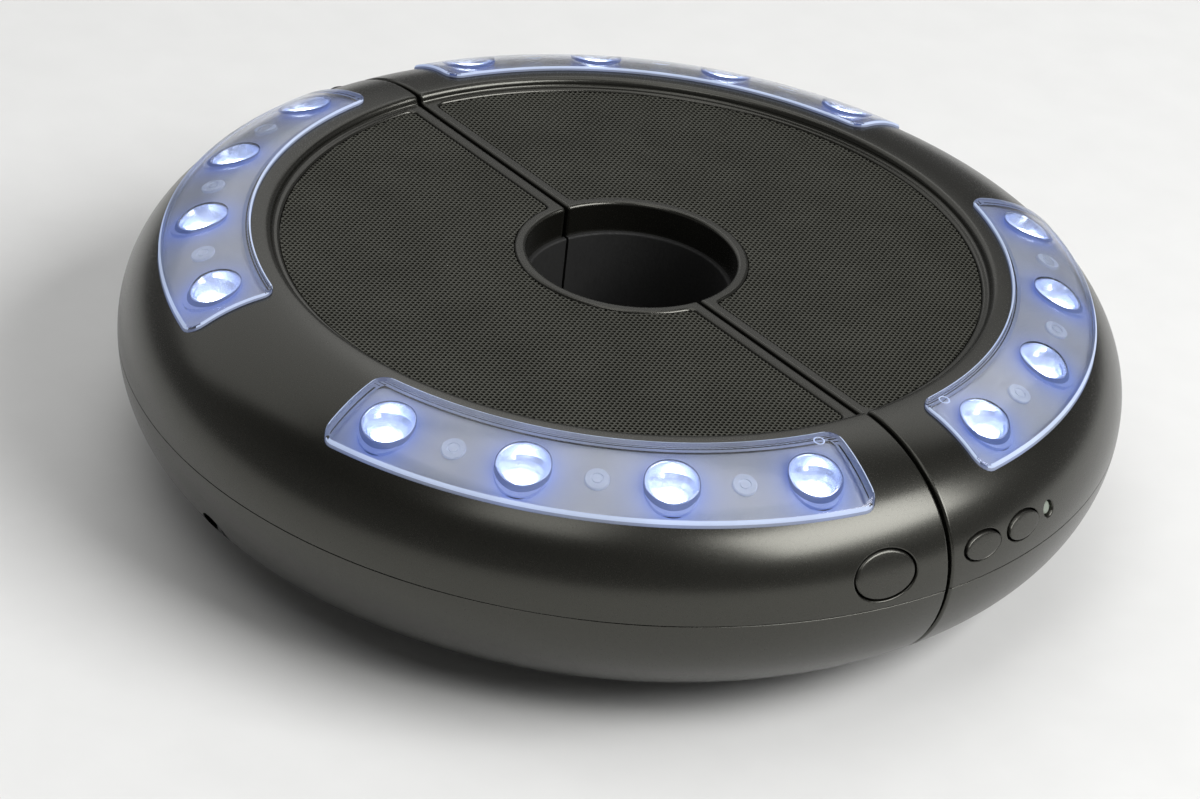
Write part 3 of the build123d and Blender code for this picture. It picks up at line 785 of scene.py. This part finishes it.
# The lens's edge gets a bright painted highlight, standing in for the lines of light along a clear
# lens's edge.
EDGE = painted_glow_material("lens_edge_painted_highlight", (0.30, 0.33, 0.38), (0.30, 0.33, 0.38), (0.20, 0.32),
                     (0.34, 0.43, 0.74), (0.30, 0.36, 0.52), IOR=1.0)
RIM = painted_glow_material("lens_rim_painted_glow", (0.24, 0.26, 0.31), (0.22, 0.25, 0.33), (0.30, 0.42),
                    (0.09, 0.14, 0.38), (0.07, 0.085, 0.13), IOR=1.0)
POST = painted_glow_material("lens_post_painted_glow", (0.40, 0.43, 0.47), (0.40, 0.43, 0.47), (0.30, 0.45),
                     (0.17, 0.22, 0.46), (0.15, 0.18, 0.27))


def lens_material():
    nodes = Nodes("lens_clear")
    fine = nodes.noise(900.0, 2.0)
    nodes.link(nodes.span(fine, 0.10, 0.14), nodes.shader.inputs["Roughness"])
    nodes.bump(nodes.noise(45.0, 1.0), 0.05, 0.05)
    nodes.link(nodes.blend(fine, (0.93, 0.95, 1.0), (0.97, 0.98, 1.0)),
               nodes.shader.inputs["Base Color"])
    nodes.set(Transmission_Weight=1.0, IOR=1.42)
    return nodes.material


def lamp_material():
    nodes = Nodes("lamp_white")
    fine = nodes.noise(1200.0, 1.0)
    nodes.link(nodes.blend(fine, (0.80, 0.88, 1.0), (0.90, 0.95, 1.0)),
               nodes.shader.inputs["Emission Color"])
    nodes.link(nodes.span(fine, 0.15, 0.25), nodes.shader.inputs["Roughness"])
    nodes.set(Emission_Strength=13.0)
    return nodes.material


LENS, LAMP = lens_material(), lamp_material()
CHIP = surface("lamp_chip", (0.78, 0.74, 0.55), (0.85, 0.82, 0.66), (0.3, 0.4), 900.0, 0.05)
STATUS = surface("status_lens", (0.17, 0.20, 0.16), (0.24, 0.27, 0.23), (0.12, 0.2), 900.0, 0.03)


def paint(obj, *materials):
    obj.data.materials.clear()
    for material in materials:
        obj.data.materials.append(material)
    return obj


def hand_in(obj, body, slot, *nodes):
    """Put a finished piece on its body, in place of the CAD nodes it stands for."""
    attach(obj, body)
    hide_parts(*nodes)
    return obj


def copied(obj, name, matrix=None, flip=False):
    """Copy of an object with its own mesh, turned or mirrored across the split."""
    mesh = obj.data.copy()
    if matrix is not None:
        mesh.transform(matrix)
    if flip:
        mesh.transform(Matrix.Diagonal((1, -1, 1, 1)))
        mesh.flip_normals()
    return linked(name, mesh)


# --- the two case halves ---
def grille_pocket():
    """Cutter for the recess that a grille lies in, with a flared mouth."""
    rings = []
    flare = 0.9
    rings.append([(x, y, LEDGE_Z) for x, y in grille_outline(-0.15, 2.15)])
    for turn in np.linspace(0, 80, 6):
        grow = flare * (1 - cos(radians(turn)))
        drop = flare * (1 - sin(radians(turn)))
        outline = grille_outline(-0.15 - grow, 2.15 + grow)
        rings.append([(x, y, DECK_Z - drop) for x, y in outline])
    rings.append([(x, y, RIM_Z + 5) for x, y in outline])
    return tube(rings)


def panel_cuts(turns):
    """Cutters for the recesses that the lenses lie in, and for the windows under them."""
    pocket = plate(panel_grid(5.0, 0.15), panel_grid(-PANEL_DEPTH, 0.15))
    window = plate(panel_grid(-PANEL_DEPTH + 0.5, -PANEL_LEDGE),
                   panel_grid(-WALL - 0.8, -PANEL_LEDGE))
    return [[moved(shape, spun(turn)) for turn in turns] for shape in (pocket, window)]


def hinge_cuts():
    """Cutters for the knuckles' room and for one leaf's pocket."""
    relief = moved(upright(HINGE_RELIEF, HINGE_Z0 - 0.5, HINGE_Z1 + 0.5),
                   Matrix.Translation((HINGE_X, 0, 0)))
    leaf = cuboid(HINGE_X, LEAF_POCKET_END, -1, HALF_GAP + LEAF_T, HINGE_Z0 - 0.2, HINGE_Z1 + 0.2)
    return relief, leaf


def on_circle(circle, angles, shape, middle=90.0):
    return [moved(shape, placed(middle + a, circle, 0)) for a in angles]


def build_cases():
    relief, leaf = hinge_cuts()
    pockets, windows = panel_cuts((PANEL_TURNS[3], PANEL_TURNS[4]))
    upper = solid("upper", half_ring(outer_upper(), HALF_GAP, LIP))
    boolean(upper, half_ring(inner_upper(), HALF_GAP + END_WALL, 0.0, 90))
    boolean(upper, joined([grille_pocket(), relief] + pockets))
    speaker = moved(upright(SPEAKER_HOLE, 60.0, LEDGE_Z + 0.4, 96),
                    Matrix.Translation((0, SPEAKER_Y, 0)))
    boolean(upper, joined(windows + [speaker, leaf]))
    lower = solid("lower", half_ring(outer_lower(), HALF_GAP, LIP))
    boolean(lower, half_ring(inner_lower(), HALF_GAP + END_WALL, 0.0, 90))
    pad = lathe([(0, 3.0), (4.6, 3.0), (4.6, 7.6), (3.5, 8.4), (3.5, 37.3), (0, 37.3)], 40)
    boolean(lower, joined(on_circle(SCREW_CIRCLE, SCREW_ANGLES, pad)), "UNION")
    well = lathe([(0, -2), (3.2, -2), (3.2, BASE_Z), (2.8, BASE_Z + 0.4), (2.8, HEAD_SEAT),
                  (0, HEAD_SEAT)], 40)
    seat = lathe([(0, -2), (6.5, -2), (6.5, BASE_Z), (6.15, BASE_Z + 0.35), (6.15, BASE_Z + 1.2),
                  (0, BASE_Z + 1.2)], 64)
    cuts = on_circle(SCREW_CIRCLE, SCREW_ANGLES, well) + on_circle(FOOT_CIRCLE, FOOT_ANGLES, seat)
    boolean(lower, joined(cuts + [relief]))
    boolean(lower, leaf)
    cases = {
        ("upper", "b"): upper, ("lower", "b"): lower,
        ("upper", "a"): copied(upper, "upper_a", flip=True),
        ("lower", "a"): copied(lower, "lower_a", flip=True),
    }
    hole_w, hole_h = RELEASE_W + 2 * BUTTON_GAP, RELEASE_H + 2 * BUTTON_GAP
    latch_slot = cuboid(99.0, 104.6, -HALF_GAP - END_WALL - 0.5, 1, 43.05, 49.05)
    boolean(cases["upper", "a"], joined([
        side_hole(RELEASE_ANGLE, RELEASE_Z, hole_w, hole_h), latch_slot]))
    small_w, small_h = SMALL_W + 2 * BUTTON_GAP, SMALL_H + 2 * BUTTON_GAP
    status = 2 * STATUS_R + 0.2
    strike = cuboid(95.0, 110.0, -1, HALF_GAP + 1.5, 40.5, 51.5)
    boolean(cases["upper", "b"], joined(
        [side_hole(angle, BUTTON_Z, small_w, small_h) for angle in SMALL_ANGLES.values()]
        + [side_hole(STATUS_ANGLE, BUTTON_Z, status, status, 0.5), strike]))
    boolean(cases["lower", "a"], side_hole(SOCKET_ANGLE, SOCKET_Z, SOCKET_W, SOCKET_W, 0.6))
    for (level, half), obj in cases.items():
        obj.name = f"{level}_case_{half}_skin"
        paint(obj, PLASTIC)
        shade(obj, skin=True)
        hand_in(obj, f"half_{half}", "case_plastic", f"{level}_case_{half}")


build_cases()


# --- grilles, liners, feet and screws ---
def build_small_parts():
    top = DECK_Z - 0.5
    sheet = sheet_solid(*perforated(), top, top - 0.8)
    for half, shape in (("b", sheet), ("a", mirrored(sheet))):
        grille = new_object(f"grille_{half}_perforated", *shape)
        paint(grille, GRILLE)
        hand_in(grille, f"half_{half}", "grille_metal", f"grille_{half}")

    z0, z1 = 8.0, 58.0
    section = [(BORE_R - 0.01, z0), (BORE_R - 0.01, z1)]
    section += arc((POLE_R + 0.6, z1 - 0.6), 0.6, pi / 2, pi, 5)
    section += arc((POLE_R + 0.6, z0 + 0.6), 0.6, pi, 1.5 * pi, 5)
    liner = shade(paint(solid("liner", half_ring(section, 0.4, 0.0, 72)), RUBBER))

    foot = lathe([(0, 0.15), (4.2, 0.15), (4.6, 0.0), (5.5, 0.0)]
                 + arc((5.5, 0.5), 0.5, -pi / 2, 0, 5)[1:] + [(6.0, 2.8), (0, 2.8)], 56)
    feet = solid("feet", joined(on_circle(FOOT_CIRCLE, FOOT_ANGLES, foot)))
    shade(paint(feet, RUBBER))

    head = [(0.0, HEAD_SEAT - 2.0)]
    head += arc((0, HEAD_SEAT + 2.4), 4.4, radians(-88), radians(-54), 6)
    screw = lathe(head + [(2.6, HEAD_SEAT), (1.25, HEAD_SEAT), (1.25, 45.6), (0, 45.6)], 40)
    screws = solid("screws", joined(on_circle(SCREW_CIRCLE, SCREW_ANGLES, screw)))
    for x, y in ((1.5, 0.3), (0.3, 1.5)):
        recess = cuboid(-x, x, -y, y, 2.0, HEAD_SEAT - 0.9)
        boolean(screws, joined(on_circle(SCREW_CIRCLE, SCREW_ANGLES, recess)))
    shade(paint(screws, STEEL))

    for name, obj, slot in (("pole_liner", liner, "rubber"), ("feet", feet, "rubber"),
                            ("case_screws", screws, "steel")):
        for half in "ab":
            piece = copied(obj, f"{name}_{half}_fine", flip=half == "a")
            hand_in(piece, f"half_{half}", slot, f"{name}_{half}")
        bpy.data.objects.remove(obj)


build_small_parts()


# --- lamp panels ---
def at_lamp(step, shape):
    """Carry an upright shape from the Z axis to a lamp."""
    return moved(shape, placed(step * LAMP_PITCH, LAMP_R, 0))


def skin_above(x, y, offset):
    """Height of the shoulder above a point given from a lamp's axis."""
    return shoulder(hypot(LAMP_R + x, y), offset)


def lamp_light(obj, reach=4.0):
    """How near each point is to a lamp, for the glow: 1 beside its cup, fading away from it."""
    mesh = obj.data
    points = read(mesh.vertices, "co") / MM
    nearest = np.full(len(points), 1e9)
    for step in LAMP_STEPS:
        turn = radians(step * LAMP_PITCH)
        away = points[:, :2] - LAMP_R * np.array((cos(turn), sin(turn)))
        nearest = np.minimum(nearest, np.hypot(away[:, 0], away[:, 1]))
    values = np.exp(-np.maximum(nearest - CUP_OUT, 0) / reach).astype(np.float32)
    layer = mesh.attributes.new("lamp_light", "FLOAT", "POINT")
    layer.data.foreach_set("value", values)
    return obj


def cup_edge(turn):
    """Radius and height where a cup's cone ends, at the shoulder or at its straight part."""
    slope = (CUP_TOP - CUP_BOTTOM) / CUP_DEPTH
    low, high = BOARD_TOP + 0.1, BOARD_TOP + CUP_DEPTH
    for _ in range(20):
        middle = (low + high) / 2
        r = CUP_BOTTOM + slope * (middle - BOARD_TOP)
        inside = skin_above(r * cos(turn), r * sin(turn), 0) > middle
        low, high = (middle, high) if inside else (low, middle)
    return CUP_BOTTOM + slope * (low - BOARD_TOP), low


CUP_TURNS = [2 * pi * k / CUP_STEPS for k in range(CUP_STEPS)]
CUP_EDGES = [(turn, *cup_edge(turn)) for turn in CUP_TURNS]


def cup():
    """Reflector cup round the Z axis, its thin rim cut off along the shoulder."""
    rings = []
    slope = (CUP_TOP - CUP_BOTTOM) / CUP_DEPTH
    for turn, edge, top in CUP_EDGES:
        c, s = cos(turn), sin(turn)
        profile = [(CUP_OUT, BOARD_TOP + 0.1)]
        for r, offset in ((CUP_OUT, -PANEL_DEPTH - 0.06), (edge + 0.36, -PANEL_DEPTH - 0.06),
                          (edge + 0.36, -0.10), (edge + 0.28, -0.04), (edge + 0.06, -0.04),
                          (edge, -0.12)):
            profile.append((r, skin_above(r * c, r * s, offset)))
        for share, step in ((0.95, 0.0), (0.74, 0.0), (0.72, -0.22), (0.44, 0.0), (0.42, -0.22),
                            (0.06, 0.0)):
            z = BOARD_TOP + share * (top - BOARD_TOP)
            profile.append((CUP_BOTTOM + slope * (z - BOARD_TOP) + step, z))
        profile.append((CUP_BOTTOM, BOARD_TOP + 0.1))
        rings.append([(r * c, r * s, z) for r, z in profile])
    return tube(rings + rings[:1], closed=False)


def well():
    """Room for a cup in the lens, with a roof that follows the shoulder."""
    rings = [[((edge + 0.5) * cos(t), (edge + 0.5) * sin(t), BOARD_TOP - 2)
              for t, edge, _ in CUP_EDGES]]
    for share, inset, drop in ((1, 0, 0.35), (1, 0.1, 0.12), (1, 0.3, 0.0), (0.75, 0, 0),
                               (0.5, 0, 0), (0.28, 0, 0), (0.06, 0, 0)):
        ring = []
        for t, edge, _ in CUP_EDGES:
            r = (edge + 0.5 - inset) * share
            x, y = r * cos(t), r * sin(t)
            ring.append((x, y, skin_above(x, y, WELL_ROOF - drop)))
        rings.append(ring)
    return tube(rings)


def merge(name, *parts):
    """One object from several that share their material slots."""
    work = bmesh.new()
    for part in parts:
        work.from_mesh(part.data)
    mesh = bpy.data.meshes.new(name)
    work.to_mesh(mesh)
    work.free()
    for material in parts[0].data.materials:
        mesh.materials.append(material)
    return linked(name, mesh)


def build_lens():
    """Clear lens whose hidden faces carry painted lamp light that shows through it."""
    bevel = LENS_BEVEL
    middles = []
    for turn in np.linspace(0, pi / 2, 5)[:-1]:
        inset = bevel * (1 - cos(turn))
        offset = PANEL_PROUD - bevel * (1 - sin(turn))
        middles.append(edge_of(panel_grid(offset, -inset)))
    lens = solid("lens", plate(panel_grid(PANEL_PROUD, -bevel), panel_grid(-PANEL_DEPTH), middles))
    boolean(lens, joined([at_lamp(step, well()) for step in LAMP_STEPS]))
    paint(lens, LENS, EDGE, POST, RIM, WALL_IN)
    # Painted light on the lens's hidden faces: the upper bevel gets the bright painted edge
    # highlight, the side below it and the flange under the edge a darker painted glow, the well
    # walls a blue painted glow.
    for face in lens.data.polygons:
        middle = face.center / MM
        r = hypot(middle.x, middle.y)
        side = radians(PANEL_HALF) - abs(atan2(middle.y, middle.x))
        rim = min(r - PANEL_IN, PANEL_OUT - r, side * r)
        depth = middle.z - shoulder(r)
        if rim < bevel * 0.98 and depth > -PANEL_DEPTH * 0.98:
            face.material_index = 1 if depth > PANEL_PROUD - bevel else 3
        elif depth < -PANEL_DEPTH * 0.8 and rim < PANEL_LEDGE + 0.7:
            face.material_index = 3
        elif -PANEL_DEPTH < depth < WELL_ROOF and abs(face.normal.z) < 0.5:
            face.material_index = 4
    return lens


def build_tray():
    outline = {"inner": 95.6, "outer": 117.0, "half": PANEL_HALF + 0.4}
    tray = solid("tray", plate(panel_grid(-WALL, **outline), panel_grid(-WALL - 1.0, **outline)))
    holes = [at_lamp(step, upright(CUP_OUT - 0.2, 50, 75, 72)) for step in LAMP_STEPS]
    holes += [moved(upright(2.05, -9, 0, 32), panel_frame(PIN_R, step)) for step in PIN_STEPS]
    boolean(tray, joined(holes))
    boolean(tray, joined([at_lamp(step, cup()) for step in LAMP_STEPS]), "UNION")
    # Painted lamp light: the tray and the cup faces glow, the tray more strongly and more blue
    # beside the lamps.
    paint(tray, TRAY, CUP)
    for face in tray.data.polygons:
        middle = face.center / MM
        for step in LAMP_STEPS:
            turn = radians(step * LAMP_PITCH)
            x = middle.x - LAMP_R * cos(turn)
            y = middle.y - LAMP_R * sin(turn)
            away = hypot(x, y)
            if away > CUP_OUT - 0.1:
                continue
            faces_axis = -(face.normal.x * x + face.normal.y * y) / away > 0.3
            if faces_axis or middle.z > shoulder(hypot(middle.x, middle.y), -0.3):
                face.material_index = 1
    return shade(tray, 25)


def build_lamps():
    base, body, height, radius = BOARD_TOP, 1.75, 1.2, 2.4
    square = ((-body, -body), (body, -body), (body, body), (-body, body))
    chip = tube([[(x * s, y * s, z) for x, y in square]
                 for z, s in ((base, 1.0), (base + height - 0.2, 1.0), (base + height, 0.9))])
    low = asin(0.5 / radius)
    centre = base + height - 0.5
    dome = lathe([(0, base + height)] + arc((0, centre), radius, low, pi / 2, 12)[:-1]
                 + [(0, centre + radius)], 48)
    lamp = joined([chip, dome])
    lamps = solid("lamps", joined([at_lamp(step, lamp) for step in LAMP_STEPS]))
    return shade(paint(lamps, LAMP), 40)


def build_panels():
    lens, tray, lamps = build_lens(), build_tray(), build_lamps()
    post = lathe([(0, -1.63), (1.1, -1.63), (1.2, -1.95), (1.5, -1.95), (1.6, -1.63), (2.8, -1.63),
                  (3.0, -1.85), (3.0, -2.35), (1.8, -2.35), (1.8, -5.4), (0, -5.4)], 40)
    posts = [moved(post, panel_frame(PIN_R, s)) for s in PIN_STEPS]
    mark = lathe([(1.05, 0.96), (1.25, 1.06), (1.45, 0.96), (1.25, 0.85)], 36)
    mark_step = (PANEL_HALF - 3.6) / LAMP_PITCH
    kinds = {}
    for end in (-1, 0, 1):
        extra = [moved(mark, panel_frame(99.3, end * mark_step))] if end else []
        fittings = solid("fittings", joined(posts + extra))
        paint(fittings, LENS, EDGE, POST, RIM, WALL_IN)
        # The marks on top get the bright painted edge highlight, the posts a painted glow.
        for face in fittings.data.polygons:
            face.material_index = 1 if face.center.z / MM > DECK_Z + 1.5 else 2
        kinds[end] = shade(merge("lens_and_fittings", lens, fittings), 40)
        lamp_light(kinds[end])
        bpy.data.objects.remove(fittings)
    lamp_light(tray)
    for number, turn in PANEL_TURNS.items():
        half = "a" if number < 3 else "b"
        marked = {1: 1, 3: -1}.get(number, 0)
        for name, obj, slot in (("lamp_lens", kinds[marked], "lens_plastic"),
                                ("lamp_tray", tray, "tray_plastic"),
                                ("lamps", lamps, "lamp_emitter")):
            piece = copied(obj, f"{name}_{number}_fine", spun(turn))
            hand_in(piece, f"half_{half}", slot, f"{name}_{number}")
    for obj in (lens, tray, lamps, *kinds.values()):
        bpy.data.objects.remove(obj)


build_panels()


# --- buttons and the status light ---
def push_button(body, angle, height, cap, flange, stem):
    """Oval cap that follows the case, a flange behind it and a round stem."""
    stem = moved(upright(*stem, 32), Matrix.Rotation(radians(90), 4, "Y"))
    stem = moved(stem, spun(angle) @ Matrix.Translation((0, 0, height)))
    parts = [side_cap(angle, height, *cap), bar(angle, height, *flange), stem]
    button = shade(solid(f"{body}_cap", joined(parts)), 50)
    hand_in(paint(button, BUTTON), body, "button_plastic", body)


def build_buttons():
    push_button("release_button", RELEASE_ANGLE, RELEASE_Z, (RELEASE_W, RELEASE_H, 116.7),
                (19.0, 14.0, 114.8, 116.8), (2.5, 94.0, 114.9))
    for body, angle in SMALL_ANGLES.items():
        push_button(body, angle, BUTTON_Z, (SMALL_W, SMALL_H, 117.3, 0.3, -0.5),
                    (SMALL_W + 0.6, SMALL_H + 2.4, 116.2, 117.4), (1.6, 112.5, 116.3))
    size = 2 * STATUS_R
    light = side_cap(STATUS_ANGLE, BUTTON_Z, size, size, 112.0, bevel=0.9, sink=0.6)
    light = shade(solid("status_light_lens", light), 50)
    hand_in(paint(light, STATUS), "half_b", "status_lens", "status_light")


build_buttons()

# --- finishes for the CAD nodes that stay ---
FINISH = {
    "lamp_board": BOARD, "speaker_frame": FRAME, "speaker_magnet": MAGNET, "speaker_cone": CONE,
    "speaker_surround": RUBBER, "speaker_dust_cap": CONE, "battery_cells": BATTERY,
    "battery_holder": INNER, "charging_socket": INNER, "hinge_leaf": DARK_STEEL,
    "hinge_pin": STEEL, "hinge_screws": STEEL, "release_housing": INNER, "main_board": CIRCUIT,
    "board_components": CHIP, "latch_strike": STEEL, "switch_board": CIRCUIT,
    "latch_bolt": STEEL, "release_spring": STEEL,
}
for node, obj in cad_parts.items():
    for start, material in FINISH.items():
        if node.startswith(start):
            paint(obj, material)

# --- camera, lights and floor ---
TARGET_Z = PARTING_Z * MM
DISTANCE, ELEVATION, AZIMUTH = 1.3398, radians(29.77), radians(48.775)
ROLL, PAN, TILT = radians(6.52), radians(0.164), radians(-0.547)
HORIZON, CEILING = 0.17, 0.06    # brightness of the surroundings


def make_camera():
    data = bpy.data.cameras.new("camera")
    data.sensor_width, data.lens = 36.0, 157.63
    camera = linked("camera", data)
    eye = Vector((0, -DISTANCE * cos(ELEVATION), DISTANCE * sin(ELEVATION)))
    ahead = Vector((0, cos(ELEVATION), -sin(ELEVATION)))
    right = Vector((1, 0, 0))
    up = right.cross(ahead)
    turn = Matrix.Rotation(PAN, 3, up)
    ahead, right = turn @ ahead, turn @ right
    ahead = Matrix.Rotation(TILT, 3, right) @ ahead
    up = right.cross(ahead)
    across = right * cos(ROLL) + up * sin(ROLL)
    upward = -right * sin(ROLL) + up * cos(ROLL)
    axes = Matrix((across, upward, -ahead)).transposed().to_4x4()
    camera.matrix_world = (
        Matrix.Translation((0, 0, TARGET_Z)) @ Matrix.Rotation(AZIMUTH, 4, "Z")
        @ Matrix.Translation(eye) @ axes
    )
    bpy.context.scene.camera = camera


def softbox(name, way, along, distance, size, radiance, colour=(1, 1, 1)):
    """Area light aimed at the ring from a direction, its long side lying along another."""
    data = bpy.data.lights.new(name, "AREA")
    data.shape, data.size, data.size_y = "RECTANGLE", size[0], size[1]
    data.energy = radiance * pi * size[0] * size[1]
    data.color = colour
    z = Vector(way).normalized()
    x = Vector(along)
    x = (x - z * x.dot(z)).normalized()
    y = z.cross(x)
    turn = Matrix((x, y, z)).transposed().to_4x4()
    place = Matrix.Translation(Vector((0, 0, TARGET_Z)) + z * distance)
    linked(name, data).matrix_world = place @ turn


def make_stage():
    size = 12.0 / MM
    corners = [(-size, -size, 0), (size, -size, 0), (size, size, 0), (-size, size, 0)]
    floor = new_object("floor", corners, [(0, 1, 2, 3)])
    paint(floor, surface("paper", (0.80, 0.80, 0.79), (0.82, 0.82, 0.81), (0.8, 0.9), 300.0, 0.02))
    world = bpy.data.worlds.new("studio")
    world.use_nodes = True
    tree = world.node_tree
    place = tree.nodes.new("ShaderNodeTexCoord")
    split = tree.nodes.new("ShaderNodeSeparateXYZ")
    ramp = tree.nodes.new("ShaderNodeValToRGB")
    tree.links.new(place.outputs["Generated"], split.inputs["Vector"])
    tree.links.new(split.outputs["Z"], ramp.inputs["Fac"])
    tree.links.new(ramp.outputs["Color"], tree.nodes["Background"].inputs["Color"])
    for stop, place, tone in zip(ramp.color_ramp.elements, (0.22, 0.62), (HORIZON, CEILING)):
        stop.position, stop.color = place, (tone, tone, tone, 1)
    bpy.context.scene.world = world


make_camera()
make_stage()
softbox("key", (0.679, 0.302, 0.669), (-0.41, 0.91, 0.0), 1.9, (1.50, 0.82), 9.6)
softbox("side", (0.28, -0.48, 0.83), (0.87, 0.5, 0.0), 1.9, (0.7, 0.7), 2.6)
softbox("back", (-0.5, 0.75, 0.8), (1.0, 0.6, 0.0), 2.4, (1.6, 0.8), 1.0)
softbox("left", (-0.77, 0.0, 0.64), (0.0, 1.0, 0.0), 2.0, (2.4, 1.4), 0.7)
softbox("top", (-0.10, 0.05, 1.0), (1.0, 0.0, 0.0), 2.0, (1.5, 1.5), 1.4)
bpy.context.scene.view_settings.view_transform = "Standard"
